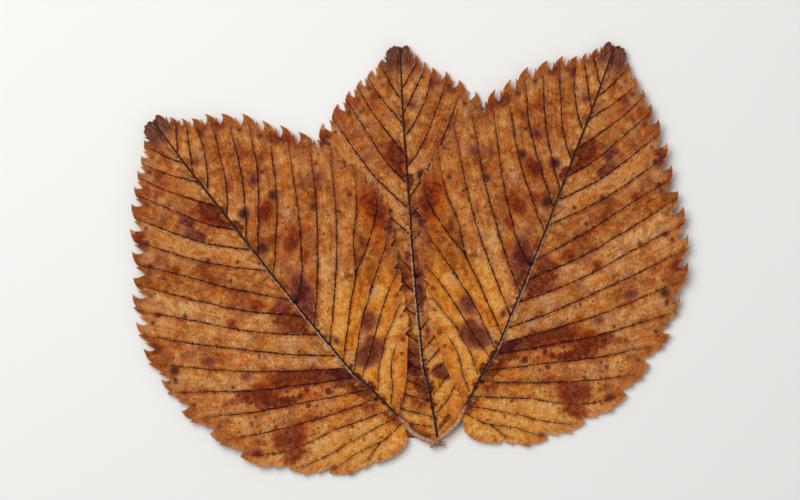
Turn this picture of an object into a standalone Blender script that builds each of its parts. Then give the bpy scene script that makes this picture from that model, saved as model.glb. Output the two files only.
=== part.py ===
"""A dried leaf: three toothed blades fanned out flat on one forked stalk.

Metres, +Z up. The leaf lies on a table with its upper side up and its tips towards +Y, and the origin is
under its weight, on the table. The outlines and the veins are drawn in units of 0.3 mm in each blade's
own plane: u across the blade, v up its midrib from the foot. A blade is 400 units, or 120 mm, long.
"""
import math

import bmesh
import bpy
import numpy as np
from mathutils import Vector
from mathutils.geometry import delaunay_2d_cdt

UNIT = 0.0003  # one drawing unit, in metres
MM = 0.001

# Teeth down the long side of a blade, from the tip to the foot: the point of the tooth, then the notch
# on its upper side.
LONG_SIDE = (
    (-16, 389, -12, 385), (-28, 379, -24, 373), (-40, 370, -36, 363), (-53, 360, -48, 353),
    (-66, 348, -59, 340), (-83, 330, -75, 321), (-96, 311, -88, 303), (-112, 290, -101, 285),
    (-123, 278, -114, 267), (-138, 254, -130, 245), (-149, 229, -141, 221), (-155, 194, -148, 188),
    (-160, 157, -150, 155), (-152, 121, -144, 123), (-143, 84, -136, 87), (-114, 44, -110, 46),
    (-85, 14, -82, 18), (-43, -8, -41, -5),
)
# The same down the short side, which overlies the middle blade.
SHORT_SIDE = (
    (18, 391, 14, 386), (26, 383, 22, 376), (34, 376, 29, 369), (47, 371, 41, 362),
    (60, 361, 53, 353), (76, 348, 68, 339), (87, 330, 80, 321), (98, 315, 90, 305),
    (108, 298, 100, 289), (121, 271, 113, 270), (128, 243, 121, 240), (134, 215, 127, 214),
    (131, 188, 126, 190), (122, 167, 118, 170), (110, 147, 106, 151), (99, 127, 95, 131),
    (87, 107, 84, 111), (77, 88, 74, 92), (63, 70, 61, 73),
)
TIP = ((-10, 398), (-3, 401), (5, 399), (10, 401))
ROUND_LOBE = ((-24, -13.5), (-12, -13.3), (-4, -10), (-0.5, -5), (1.8, 0), (7.5, 0))
NARROW_SIDE = ((7.8, 10), (10, 19), (21, 27), (38, 42), (52, 58))
# The middle blade's foot fills the fork and ends under the two arms of the stalk.
MIDDLE_LOBE = (
    (-60, 0), (-42, 4), (-33, 15), (-26, 15), (-15.6, 9.5), (-6.8, 4.6), (1.2, 1.4), (8.5, 2.3), (17.2, 7.6),
)
MIDDLE_NARROW_SIDE = ((26, 14.4), (31, 19), (35, 30), (42, 44), (52, 58))

MIDRIB = (
    (5, 0), (4, 20), (2, 40), (0, 60), (-3, 75), (-3.5, 100), (-4, 150), (-3.5, 200), (-2.5, 230),
    (-2, 260), (-1, 300), (0, 340), (1.5, 370), (2.5, 394),
)
# Side veins from the midrib to the margin, long side first, from the tip to the foot.
VEINS = (
    ((0, 345), (-9, 360), (-18, 384)), ((-1, 322), (-20, 348), (-32, 371)),
    ((-1, 290), (-13, 307), (-30, 335), (-43, 362)), ((-2, 262), (-18, 280), (-35, 310), (-56, 350)),
    ((-3, 237), (-30, 265), (-53, 300), (-73, 336)), ((-4, 210), (-40, 248), (-60, 275), (-86, 316)),
    ((-4, 172), (-48, 225), (-72, 260), (-102, 299)), ((-5, 152), (-50, 197), (-80, 235), (-114, 282)),
    ((-5, 128), (-52, 170), (-90, 215), (-130, 262)), ((-4, 100), (-50, 141), (-100, 193), (-141, 238)),
    ((-5, 84), (-50, 118), (-100, 160), (-150, 209)), ((-5, 73), (-50, 100), (-100, 133), (-153, 175)),
    ((-1, 54), (-50, 80), (-100, 107), (-147, 137)), ((-2, 42), (-50, 60), (-100, 82), (-143, 106)),
    ((1, 25), (-50, 43), (-100, 57), (-134, 77)), ((1, 15), (-38, 23), (-75, 29), (-106, 38)),
    ((1, 6), (-25, 6), (-50, 12), (-78, 14)), ((-25, 6), (-40, 2)),
    ((1, 357), (12, 372), (18, 382)), ((0, 332), (14, 354), (26, 374)),
    ((0, 308), (12, 324), (23, 343), (33, 366)), ((-0.5, 279), (18, 301), (30, 324), (48, 362)),
    ((-1.5, 247), (16, 269), (37, 301), (61, 349)), ((-1.5, 228), (22, 256), (50, 291), (74, 335)),
    ((-3, 202), (30, 237), (54, 267), (85, 315)), ((-4, 165), (19, 184), (40, 211), (65, 248), (96, 301)),
    ((-4, 137), (23, 164), (54, 202), (83, 241), (109, 281)),
    ((-4, 112), (26, 142), (53, 171), (84, 209), (122, 264)),
    ((-3, 92), (32, 125), (60, 150), (83, 180), (107, 205), (125, 231)),
    ((60, 150), (92, 168), (118, 187), (129, 202)), ((-2, 76), (30, 105), (61, 128), (92, 147), (121, 168)),
    ((-1, 66), (26, 83), (51, 101), (74, 116), (97, 128)), ((3, 45), (20, 63), (42, 81), (62, 92), (82, 104)),
    ((3, 26), (17, 39), (31, 58), (52, 73)),
)

# Where each blade's foot lies from the origin, the lean of its midrib from +Y in degrees, and its size
# across and along, where a minus makes it the mirror image.
BLADES = {
    "blade_left": ((-9.0, -145.5), -39.45, (1.000, 1.000)),
    "blade_middle": ((20.0, -157.0), -5.20, (0.975, 0.993)),
    "blade_right": ((51.5, -135.5), 22.26, (-0.985, 1.012)),
}

THICK = 0.65 * MM  # a blade between its veins
PLEAT = 0.45 * MM  # how far the blade swells between its side veins
PLEAT_REACH = 9.0  # units from a vein over which it does so
SINK = 0.25 * MM  # how much flatter the underside is than the top
LIFT = 1.65 * MM  # how far the side blades ride over the middle one
LIFT_RUN = 60.0  # units over which they come down beyond its edge
RUFFLE = 0.45 * MM  # how far the teeth of the side blades turn up
GRID = 15.0  # units between the points inside a blade
STEP = 14.0  # units between the points along a vein

STALK_RADIUS = 0.75 * MM
# The two arms from a side blade's foot to beyond the knob: units, units, and millimetres up.
STALK_ARMS = (
    ((-4.3, -143.7, 2.2), (-1.0, -147.0, 2.25), (5.0, -151.0, 2.25), (12.0, -154.4, 2.1), (19.5, -156.9, 1.8),
     (29.5, -158.8, 1.6)),
    ((46.3, -135.0, 2.2), (42.0, -140.6, 2.25), (34.5, -147.5, 2.3), (27.0, -153.0, 2.4), (22.0, -157.0, 2.45),
     (18.7, -160.8, 2.35)),
)
KNOB = (24.0, -157.0, 2.05)
KNOB_RADII = (1.25 * MM, 1.05 * MM, 1.00 * MM)

BLADE_COLOUR = (0.46, 0.17, 0.035, 1.0)
STALK_COLOUR = (0.42, 0.22, 0.12, 1.0)


def smooth(t):
    """Goes from 0 to 1 as t does, level at both ends."""
    t = np.clip(t, 0.0, 1.0)
    return t * t * (3.0 - 2.0 * t)


def material(name, colour, roughness):
    """A plain Principled material."""
    made = bpy.data.materials.new(name)
    made.use_nodes = True
    made.diffuse_color = colour
    shader = made.node_tree.nodes["Principled BSDF"]
    shader.inputs["Base Color"].default_value = colour
    shader.inputs["Roughness"].default_value = roughness
    shader.inputs["Metallic"].default_value = 0.0
    return made


def toothed_edge(teeth, start, side):
    """Points down one side of a blade: each tooth, its lower edge with its small teeth, the next notch.

    side is -1 on the long side, where the margin runs down at negative u, and 1 on the short side.
    """
    points = []
    point = Vector(start)
    for tip_u, tip_v, notch_u, notch_v in teeth:
        notch = Vector((notch_u, notch_v))
        along = notch - point
        length = along.length
        if length > 12.0:
            along.normalize()
            out = Vector((-along.y, along.x)) * side
            small = 1 if length < 27.0 else 2
            for k in range(small):
                at = (k + 0.62) / (small + 0.35) * length
                points.append(point + along * (at - 3.5) + out * 0.6)
                points.append(point + along * (at - 2.5) + out * 3.4)
        points.append(notch)
        point = Vector((tip_u, tip_v))
        points.append(point)
    return points


def blade_outline(name):
    """The margin of a blade, as one closed loop of points."""
    down = toothed_edge(LONG_SIDE, TIP[0], -1)
    up = toothed_edge(SHORT_SIDE, TIP[3], 1)
    lobe = ROUND_LOBE
    narrow = NARROW_SIDE
    if name == "blade_middle":
        down = toothed_edge(LONG_SIDE[:-1], TIP[0], -1)
        lobe = MIDDLE_LOBE
        narrow = MIDDLE_NARROW_SIDE
    loop = down + [Vector(p) for p in lobe + narrow]
    loop += up[::-1]
    loop += [Vector(p) for p in TIP[::-1]]
    return np.array([tuple(p) for p in loop])


def resampled(line, step):
    """The line with a point about every step units."""
    line = np.asarray(line, dtype=float)
    reach = np.concatenate(([0.0], np.cumsum(np.hypot(*np.diff(line, axis=0).T))))
    count = max(2, int(round(reach[-1] / step)) + 1)
    at = np.linspace(0.0, reach[-1], count)
    return np.column_stack([np.interp(at, reach, line[:, k]) for k in (0, 1)])


def distance(points, line):
    """How far each point is from a line of straight stretches."""
    best = np.full(len(points), 1e9)
    for a, b in zip(line[:-1], line[1:]):
        run = b - a
        t = np.clip((points - a) @ run / max(run @ run, 1e-12), 0.0, 1.0)
        best = np.minimum(best, np.hypot(*(points - a - t[:, None] * run).T))
    return best


def inside(points, loop):
    """Which points lie within a closed loop."""
    found = np.zeros(len(points), dtype=bool)
    for a, b in zip(loop, np.roll(loop, -1, axis=0)):
        crosses = (a[1] > points[:, 1]) != (b[1] > points[:, 1])
        rise = b[1] - a[1] if b[1] != a[1] else 1e-12
        at = a[0] + (points[:, 1] - a[1]) * (b[0] - a[0]) / rise
        found ^= crosses & (points[:, 0] < at)
    return found


def placed(points, name):
    """Takes a blade's own points to where they lie on the table, in units."""
    (foot_x, foot_y), lean, (across, along) = BLADES[name]
    lean = math.radians(lean)
    u = points[:, 0] * across
    v = points[:, 1] * along
    x = foot_x + u * math.cos(lean) + v * math.sin(lean)
    y = foot_y - u * math.sin(lean) + v * math.cos(lean)
    return np.column_stack([x, y])


def wave(table):
    """The slow rise and fall of the whole leaf: flat round the middle, turning up at the far edges."""
    x, y = table.T
    ripple = 0.40 * np.sin(x / 37.0 + 1.3 * np.sin(y / 71.0)) + 0.40 * np.sin(y / 43.0 + 0.9 * np.cos(x / 59.0))
    far = np.hypot(x - 5.0, y + 10.0)
    rise = ripple * smooth((far - 40.0) / 80.0) + 2.2 * smooth((far - 130.0) / 170.0) ** 1.5
    return np.maximum(rise - 0.15, 0.0) * MM


def rib_width(v):
    """Half the midrib's width in units."""
    return 2.7 - 1.7 * np.clip(v / 400.0, 0.0, 1.0)


def rib(points, name):
    """The height of the midrib's cord over the blade. The middle one is low at its foot, under the knob."""
    v = points[:, 1]
    height = (0.28 + 0.60 * np.clip(1.0 - v / 260.0, 0.0, 1.0) ** 2) * MM
    if name == "blade_middle":
        height = height * (0.2 + 0.8 * smooth((v - 8.0) / 40.0))
    return height * np.clip(1.0 - distance(points, np.array(MIDRIB)) / rib_width(v), 0.0, 1.0)


def heights(points, name, outline, middle):
    """The top and underside of a blade over the table at its points, in metres."""
    table = placed(points, name)
    veins = [np.array(line, dtype=float) for line in VEINS + (MIDRIB,)]
    near = np.min([distance(points, line) for line in veins], axis=0)
    pleat = PLEAT * (1.0 - np.exp(-(near / PLEAT_REACH) ** 2))
    level = wave(table)
    if name != "blade_middle":
        away = np.where(inside(table, middle), 0.0, distance(table, np.vstack([middle, middle[:1]])))
        level = level + LIFT * smooth(1.0 - away / LIFT_RUN)
        edge = distance(points, np.vstack([outline, outline[:1]]))
        turn = 0.5 + 0.5 * np.sin(points[:, 1] / 17.0 + 2.0 * np.sin(points[:, 0] / 29.0))
        level = level + RUFFLE * turn * np.exp(-edge / 9.0) * smooth((points[:, 1] - 20.0) / 60.0)
    top = level + pleat + rib(points, name) + THICK
    under = np.maximum(level + 0.5 * pleat - SINK, 0.0)
    return top, under


def blade_points(outline):
    """The points of a blade's plane and the lines that its triangles have to keep to."""
    lines = [np.vstack([outline, outline[:1]])]
    spine = resampled(MIDRIB, STEP)
    spine[0, 1] += 1.2
    half = rib_width(spine[:, 1])
    for side in (-1.0, 0.0, 1.0):
        lines.append(spine + np.column_stack([side * half, np.zeros(len(spine))]))
    for line in VEINS:
        vein = resampled(line, STEP)
        near_rib = abs(vein[0, 0]) < 6.0
        vein[0] += (vein[1] - vein[0]) * (0.3 if near_rib else 0.15)
        lines.append(vein)
    points = []
    edges = []
    for line in lines:
        first = len(points)
        closed = line is lines[0]
        kept = line[:-1] if closed else line
        points += [tuple(p) for p in kept]
        edges += [(first + k, first + k + 1) for k in range(len(kept) - 1)]
        if closed:
            edges.append((first + len(kept) - 1, first))
    low, high = outline.min(axis=0), outline.max(axis=0)
    rows = np.arange(low[1], high[1], GRID * 0.87)
    grid = []
    for k, v in enumerate(rows):
        grid += [(u + (k % 2) * GRID / 2, v) for u in np.arange(low[0], high[0], GRID)]
    grid = np.array(grid)
    clear = np.min([distance(grid, line) for line in lines], axis=0)
    grid = grid[inside(grid, outline) & (clear > GRID * 0.42)]
    return points + [tuple(p) for p in grid], edges


def applied(thing):
    """Turns an object's modifiers or curve into its plain mesh."""
    graph = bpy.context.evaluated_depsgraph_get()
    mesh = bpy.data.meshes.new_from_object(thing.evaluated_get(graph))
    made = bpy.data.objects.new(thing.name + "_solid", mesh)
    bpy.context.scene.collection.objects.link(made)
    name = thing.name
    bpy.data.objects.remove(thing)
    made.name = name
    return made


def blade(name, look):
    """One blade: a flat toothed sheet, thickened, then bent to its heights top and bottom."""
    outline = blade_outline(name)
    middle = placed(blade_outline("blade_middle"), "blade_middle")
    points, edges = blade_points(outline)
    flat = delaunay_2d_cdt([Vector(p) for p in points], edges, [], 1, 1e-5)
    plane = np.array([tuple(p) for p in flat[0]])
    table = placed(plane, name) * UNIT
    faces = [face[::-1] if BLADES[name][2][0] < 0 else face for face in flat[2]]
    mesh = bpy.data.meshes.new(name)
    mesh.from_pydata([(x, y, 0.0) for x, y in table], [], faces)
    sheet = bpy.data.objects.new(name, mesh)
    bpy.context.scene.collection.objects.link(sheet)
    thicken = sheet.modifiers.new("Thickness", "SOLIDIFY")
    thicken.thickness = THICK
    thicken.offset = -1.0
    made = applied(sheet)
    top, under = heights(plane, name, outline, middle)
    count = len(plane)
    for k, vertex in enumerate(made.data.vertices):
        vertex.co.z = top[k % count] if vertex.co.z > -THICK / 2 else under[k % count]
    made.data.materials.clear()
    made.data.materials.append(look)
    return made


def tube(name, route, radius):
    """A round stalk along a smooth curve through the route, a little thicker at its blade end."""
    route = np.array(route, dtype=float) * (UNIT, UNIT, MM)
    at = np.linspace(0.0, len(route) - 1.0, 17)
    ends = np.vstack([2 * route[0] - route[1], route, 2 * route[-1] - route[-2]])
    curve = bpy.data.curves.new(name, "CURVE")
    curve.dimensions = "3D"
    curve.bevel_depth = radius
    curve.bevel_resolution = 3
    curve.use_fill_caps = True
    line = curve.splines.new("POLY")
    line.points.add(len(at) - 1)
    for point, t in zip(line.points, at):
        k = min(int(t), len(route) - 2)
        f = t - k
        a, b, c, d = ends[k:k + 4]
        spot = 0.5 * (2 * b + (c - a) * f + (2 * a - 5 * b + 4 * c - d) * f**2 + (3 * b - a - 3 * c + d) * f**3)
        point.co = (*spot, 1.0)
        point.radius = 1.08 - 0.03 * t
    made = bpy.data.objects.new(name, curve)
    bpy.context.scene.collection.objects.link(made)
    made = applied(made)
    cleaned(made)
    return made


def cleaned(thing):
    """Welds an object's doubled points and turns its faces outwards."""
    mesh = bmesh.new()
    mesh.from_mesh(thing.data)
    bmesh.ops.remove_doubles(mesh, verts=mesh.verts[:], dist=5e-6)
    bmesh.ops.recalc_face_normals(mesh, faces=mesh.faces[:])
    mesh.to_mesh(thing.data)
    mesh.free()


def stalk(look):
    """The forked stalk: two arms that cross in a knob, as one solid."""
    made = tube("stalk", STALK_ARMS[0], STALK_RADIUS)
    other = tube("stalk_right", STALK_ARMS[1], STALK_RADIUS)
    bpy.ops.mesh.primitive_uv_sphere_add(
        segments=14, ring_count=9, location=(KNOB[0] * UNIT, KNOB[1] * UNIT, KNOB[2] * MM))
    knob = bpy.context.object
    knob.scale = KNOB_RADII
    knob.rotation_euler = (0.0, 0.0, 0.4)
    for cutter in (other, knob):
        union = made.modifiers.new("Union", "BOOLEAN")
        union.operation = "UNION"
        union.solver = "EXACT"
        union.object = cutter
    made = applied(made)
    for cutter in (other, knob):
        bpy.data.objects.remove(cutter)
    cleaned(made)
    made.data.materials.clear()
    made.data.materials.append(look)
    return made


for old in list(bpy.data.objects):
    bpy.data.objects.remove(old)

leaf = material("dried_leaf", BLADE_COLOUR, 0.62)
wood = material("dried_stalk", STALK_COLOUR, 0.70)
parent = bpy.data.objects.new("dried_leaf", None)
bpy.context.scene.collection.objects.link(parent)
for blade_name in BLADES:
    blade(blade_name, leaf).parent = parent
stalk(wood).parent = parent
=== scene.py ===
import math
from functools import partialmethod

import bmesh
import bpy
import numpy as np
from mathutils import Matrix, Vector
from mathutils.geometry import delaunay_2d_cdt


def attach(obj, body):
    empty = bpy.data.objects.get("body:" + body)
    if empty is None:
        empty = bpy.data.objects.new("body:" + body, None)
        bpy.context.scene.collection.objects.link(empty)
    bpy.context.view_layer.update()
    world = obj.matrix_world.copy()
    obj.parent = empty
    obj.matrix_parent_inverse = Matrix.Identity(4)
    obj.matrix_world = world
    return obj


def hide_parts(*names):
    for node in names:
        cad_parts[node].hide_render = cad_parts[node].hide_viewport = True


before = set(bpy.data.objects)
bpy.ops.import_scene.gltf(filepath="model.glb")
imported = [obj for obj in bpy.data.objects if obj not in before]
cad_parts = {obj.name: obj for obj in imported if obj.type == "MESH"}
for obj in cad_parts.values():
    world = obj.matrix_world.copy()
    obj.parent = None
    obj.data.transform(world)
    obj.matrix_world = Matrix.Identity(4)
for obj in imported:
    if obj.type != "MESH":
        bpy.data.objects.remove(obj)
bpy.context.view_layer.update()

UNIT = 0.0003
MM = 0.001

# The drawing of a blade, as in the solids.
LONG_SIDE = (
    (-16, 389, -12, 385), (-28, 379, -24, 373), (-40, 370, -36, 363), (-53, 360, -48, 353),
    (-66, 348, -59, 340), (-83, 330, -75, 321), (-96, 311, -88, 303), (-112, 290, -101, 285),
    (-123, 278, -114, 267), (-138, 254, -130, 245), (-149, 229, -141, 221), (-155, 194, -148, 188),
    (-160, 157, -150, 155), (-152, 121, -144, 123), (-143, 84, -136, 87), (-114, 44, -110, 46),
    (-85, 14, -82, 18), (-43, -8, -41, -5),
)
SHORT_SIDE = (
    (18, 391, 14, 386), (26, 383, 22, 376), (34, 376, 29, 369), (47, 371, 41, 362),
    (60, 361, 53, 353), (76, 348, 68, 339), (87, 330, 80, 321), (98, 315, 90, 305),
    (108, 298, 100, 289), (121, 271, 113, 270), (128, 243, 121, 240), (134, 215, 127, 214),
    (131, 188, 126, 190), (122, 167, 118, 170), (110, 147, 106, 151), (99, 127, 95, 131),
    (87, 107, 84, 111), (77, 88, 74, 92), (63, 70, 61, 73),
)
TIP = ((-10, 398), (-3, 401), (5, 399), (10, 401))
ROUND_LOBE = ((-24, -13.5), (-12, -13.3), (-4, -10), (-0.5, -5), (1.8, 0), (7.5, 0))
NARROW_SIDE = ((7.8, 10), (10, 19), (21, 27), (38, 42), (52, 58))
MIDDLE_LOBE = (
    (-60, 0), (-42, 4), (-33, 15), (-26, 15), (-15.6, 9.5), (-6.8, 4.6), (1.2, 1.4), (8.5, 2.3), (17.2, 7.6),
)
MIDDLE_NARROW_SIDE = ((26, 14.4), (31, 19), (35, 30), (42, 44), (52, 58))
MIDRIB = (
    (5, 0), (4, 20), (2, 40), (0, 60), (-3, 75), (-3.5, 100), (-4, 150), (-3.5, 200), (-2.5, 230),
    (-2, 260), (-1, 300), (0, 340), (1.5, 370), (2.5, 394),
)
LONG_VEINS = (
    ((0, 345), (-9, 360), (-18, 384)), ((-1, 322), (-20, 348), (-32, 371)),
    ((-1, 290), (-13, 307), (-30, 335), (-43, 362)), ((-2, 262), (-18, 280), (-35, 310), (-56, 350)),
    ((-3, 237), (-30, 265), (-53, 300), (-73, 336)), ((-4, 210), (-40, 248), (-60, 275), (-86, 316)),
    ((-4, 172), (-48, 225), (-72, 260), (-102, 299)), ((-5, 152), (-50, 197), (-80, 235), (-114, 282)),
    ((-5, 128), (-52, 170), (-90, 215), (-130, 262)), ((-4, 100), (-50, 141), (-100, 193), (-141, 238)),
    ((-5, 84), (-50, 118), (-100, 160), (-150, 209)), ((-5, 73), (-50, 100), (-100, 133), (-153, 175)),
    ((-1, 54), (-50, 80), (-100, 107), (-147, 137)), ((-2, 42), (-50, 60), (-100, 82), (-143, 106)),
    ((1, 25), (-50, 43), (-100, 57), (-134, 77)), ((1, 15), (-38, 23), (-75, 29), (-106, 38)),
    ((1, 6), (-25, 6), (-50, 12), (-78, 14)), ((-25, 6), (-40, 2), (-52, 1)),
)
SHORT_VEINS = (
    ((1, 357), (12, 372), (18, 382)), ((0, 332), (14, 354), (26, 374)),
    ((0, 308), (12, 324), (23, 343), (33, 366)), ((-0.5, 279), (18, 301), (30, 324), (48, 362)),
    ((-1.5, 247), (16, 269), (37, 301), (61, 349)), ((-1.5, 228), (22, 256), (50, 291), (74, 335)),
    ((-3, 202), (30, 237), (54, 267), (85, 315)), ((-4, 165), (19, 184), (40, 211), (65, 248), (96, 301)),
    ((-4, 137), (23, 164), (54, 202), (83, 241), (109, 281)),
    ((-4, 112), (26, 142), (53, 171), (84, 209), (122, 264)),
    ((-3, 92), (32, 125), (60, 150), (83, 180), (107, 205), (125, 231)),
    ((60, 150), (92, 168), (118, 187), (129, 202)), ((-2, 76), (30, 105), (61, 128), (92, 147), (121, 168)),
    ((-1, 66), (26, 83), (51, 101), (74, 116), (97, 128)), ((3, 45), (20, 63), (42, 81), (62, 92), (82, 104)),
    ((3, 26), (17, 39), (31, 58), (52, 73)),
)
MIDDLE = "blade_middle"
# Where each blade's foot lies, the lean of its midrib from +Y in degrees, and its size across and along,
# where a minus makes it the mirror image.
BLADES = {
    "blade_left": ((-9.0, -145.5), -39.45, (1.000, 1.000)),
    "blade_middle": ((20.0, -157.0), -5.20, (0.975, 0.993)),
    "blade_right": ((51.5, -135.5), 22.26, (-0.985, 1.012)),
}
THICK = 0.65 * MM
PLEAT = 0.45 * MM
PLEAT_REACH = 9.0
SINK = 0.25 * MM
LIFT = 1.65 * MM
LIFT_RUN = 60.0
RUFFLE = 0.45 * MM
STALK_RADIUS = 0.75 * MM
KNOB_RADIUS = 1.0 * MM
KNOB_SHAPE = (1.15, 0.95, 0.98)
STALK_ARMS = (
    ((-4.3, -143.7, 2.2), (-1.0, -147.0, 2.25), (5.0, -151.0, 2.25),
     (12.0, -154.4, 2.1), (19.5, -156.9, 1.8), (29.5, -158.8, 1.6)),
    ((46.3, -135.0, 2.2), (42.0, -140.6, 2.25), (34.5, -147.5, 2.3),
     (27.0, -153.0, 2.4), (22.0, -157.0, 2.45), (18.7, -160.8, 2.35)),
)
KNOB = (24.0, -157.0, 2.05)

# The finer drawing.
GRID = 2.9  # units between the points inside a blade
CLEAR_SQUARE = 1.7  # the square of the least distance from those points to a drawn line's
CORD = 1.5  # units from a side vein's line to the foot of its cord
CORD_HEIGHT = 0.11 * MM
CRINKLE = 0.07 * MM
RIM_DROP = 0.14 * MM  # how far the top comes down to the margin
RIM_RISE = 0.30 * MM  # how far the side blades' undersides come up to it
THINNEST = 0.22 * MM
SHAPE_STEP = 3.2  # units between the points along the midrib
ARM_BEADS = 60
VOXEL = 0.11 * MM
BUMP_STRENGTH = 0.9
SIDE = 2.0  # apart in the textures, so that the two halves of a blade differ

TEETH_SEED = 7
CRINKLE_SEEDS = (3, 4)
STALK_SEED = 5
PANEL_SEED = 11
TOOTH_SPOT_SEED = 17
GOLD_SEED = 21
SWAY_SEED = 40

# The stage in metres, with each light's place, target, size and watts, and the lens in millimetres.
FLOOR_SIZE = 3.0
FLOOR_DROP = 0.02 * MM
FLOOR_COLOUR = (0.78, 0.77, 0.75, 1.0)
KEY = ((-0.34, 0.32, 0.72), (0.0, 0.01, 0.0), 0.60, 6.9)
FILL = ((0.60, -0.35, 0.60), (0.0, 0.0, 0.0), 0.80, 0.9)
SKY = 0.345
CAMERA = (-13.0 * UNIT, 35.0 * UNIT, 0.9025)
LENS = 135.0
SCREEN_GAINS = (0.92, 0.89, 0.78)

# Blotches: u, v, half-widths, turn in degrees, strength.
RED_BLOTCHES = (
    (-86, 115, 17, 12, -20, 1), (-60, 115, 17, 11, -40, 1), (-36, 100, 18, 11, -38, 1),
    (-14, 80, 14, 8, -30, 1), (-8, 58, 8, 10, 10, 0.8), (-10, 38, 9, 12, 12, 0.6), (-10, 22, 8, 5, 0, 0.3),
    (-12, 290, 11, 15, 12, 1), (-92, 67, 18, 13, -12, 0.9), (-100, 50, 14, 8, -10, 0.9),
    (-62, 66, 13, 7, -25, 0.5), (-73, 269, 10, 6, -45, 0.5), (30, 256, 14, 9, 35, 0.8),
    (33, 217, 19, 11, 40, 0.7), (20, 230, 9, 8, 0, 0.5), (119, 190, 11, 20, -20, 0.9),
    (112, 172, 13, 6, 35, 0.4), (-50, 88, 26, 12, -35, 0.2), (14, 20, 12, 2.8, 50, 1),
    (90, 305, 7, 13, 35, 0.6), (-118, 132, 16, 8, -30, 0.4), (12, 238, 10, 8, 0, 0.5),
    (-66, 190, 9, 7, -40, 0.5), (-20, 168, 15, 13, -40, 0.8), (-36, 190, 13, 8, -40, 0.6),
    (-118, 245, 8, 5, 0, 0.5), (-82, 318, 8, 9, 60, 0.7), (118, 205, 10, 8, 30, 0.6),
    (74, 104, 12, 5, 30, 0.3), (-40, 215, 10, 5, -45, 0.4), (-150, 150, 5, 10, 20, 0.1),
    (20, 300, 8, 12, -20, 0.3), (52, 318, 9, 9, 0, 0.4), (44, 290, 12, 5, 35, 0.6),
    (-30, 344, 9, 7, -50, 0.5), (52, 354, 9, 6, 0, 0.6), (-140, 222, 8, 12, 20, 0.5),
    (34, 196, 12, 5, 40, 0.4), (64, 166, 9, 5, 0, 0.3), (102, 262, 7, 12, 30, 0.4),
    (-68, 350, 7, 9, -40, 0.6), (-104, 300, 7, 9, -40, 0.5), (62, 208, 14, 4, 50, 0.3),
)
DARK_BLOTCHES = (
    (5, 112, 6, 9, 0, 0.5), (-40, 292, 12, 10, -45, 0.35), (-92, 66, 15, 10, 0, 0.3),
    (-108, 178, 11, 7, -35, 0.6), (-88, 142, 10, 8, -30, 0.5), (-20, 92, 9, 5, -35, 0.6),
    (-10, 76, 8, 5, -30, 0.7), (-70, 112, 10, 5, -40, 0.4), (12, 196, 8, 6, 30, 0.4),
    (14, 268, 8, 7, 40, 0.6), (-128, 76, 9, 7, -40, 0.55), (-127, 74, 6, 7, 0, 0.5),
    (-76, 281, 7, 9, -45, 0.3), (-24, 222, 10, 4, -45, 0.3), (44, 289, 9, 7, 35, 0.7),
    (95, 250, 9, 8, 0, 0.55), (28, 275, 6, 8, 0, 0.35), (10, 340, 8, 8, 0, 0.5), (-28, 352, 8, 6, -50, 0.55),
    (-60, 66, 10, 6, -30, 0.3), (52, 352, 7, 6, 0, 0.45), (32, 360, 4, 10, 0, 0.7), (-14, 288, 8, 10, 0, 0.2),
    (-16, 176, 8, 10, -40, 0.5), (90, 305, 5, 9, 35, 0.5), (118, 165, 7, 5, 30, 1), (-84, 310, 6, 8, 0, 0.6),
    (-36, 158, 12, 6, -40, 0.3), (30, 152, 8, 5, 35, 0.25), (-40, 236, 8, 6, 0, 0.35),
)
SIDE_DARK = (
    (23, 81, 18, 11.5, 6, 1), (30, 90, 9, 7, 20, 0.8), (42, 107, 15, 10, 38, 0.7), (9, 172, 10, 21, -22, 1),
    (4, 148, 5, 8, 0, 0.6),
)
ORANGE_BLOTCHES = (
    (54, 77, 13, 2.6, -25, 1), (42, 86, 5, 3, -40, 0.7), (116, 194, 16, 22, -25, 1),
    (102, 172, 14, 8, 30, 0.8), (-78, 118, 26, 12, -35, 0.6), (-48, 104, 20, 10, -35, 0.6),
    (104, 160, 16, 8, 30, 0.5), (74, 106, 16, 6, 30, 0.3), (-50, 86, 28, 13, -35, 0.5),
    (-24, 60, 18, 9, -25, 0.5), (-8, 18, 9, 12, 0, 0.5), (90, 150, 14, 6, 30, 0.3), (86, 120, 8, 5, 30, 0.4),
    (-2, 40, 4, 16, 0, 0.4), (112, 142, 8, 6, 30, 0.5), (10, 128, 8, 8, 40, 0.4), (38, 216, 18, 14, 30, 0.4),
    (-20, 180, 16, 14, -40, 0.4),
)
# Pale blotches are lighter patches of the leaf; those from (-26, 113) to (-28, 151) on the long side are a
# painted highlight along a crease.
PALE_BLOTCHES = (
    (-28, 151, 26, 3.5, -74, 0.9), (-40, 274, 6, 12, 45, 0.7), (-86, 298, 8, 6, -50, 0.8),
    (-26, 113, 8, 10, 20, 1), (-88, 134, 8, 4, -30, 0.6), (6, 86, 5, 14, 0, 0.8), (26, 98, 10, 5, 38, 0.8),
    (64, 126, 14, 8, 25, 0.7), (-52, 200, 8, 6, -45, 0.5), (-70, 290, 7, 14, 45, 0.6),
    (-80, 18, 10, 7, 0, 0.8), (-30, 14, 16, 6, 0, 0.4), (-100, 92, 16, 6, -30, 0.5),
    (-14, 212, 5, 10, -40, 0.5), (20, 48, 10, 12, 30, 0.4), (-36, 140, 7, 12, 10, 0.7),
    (48, 242, 6, 12, -35, 0.7), (-130, 200, 8, 6, 0, 0.5), (40, 178, 10, 10, 40, 0.3),
    (-44, 330, 8, 12, 40, 0.6), (70, 290, 10, 12, 30, 0.4), (18, 345, 4, 14, -25, 0.7),
    (-130, 258, 6, 6, 0, 0.6), (108, 285, 5, 8, 0, 0.6), (-58, 128, 14, 4, -40, 0.4),
    (-118, 160, 12, 6, -40, 0.5), (46, 318, 6, 12, -35, 0.6), (-88, 225, 8, 14, 45, 0.4),
    (2, 62, 3, 12, 0, 0.6),
)
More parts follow.
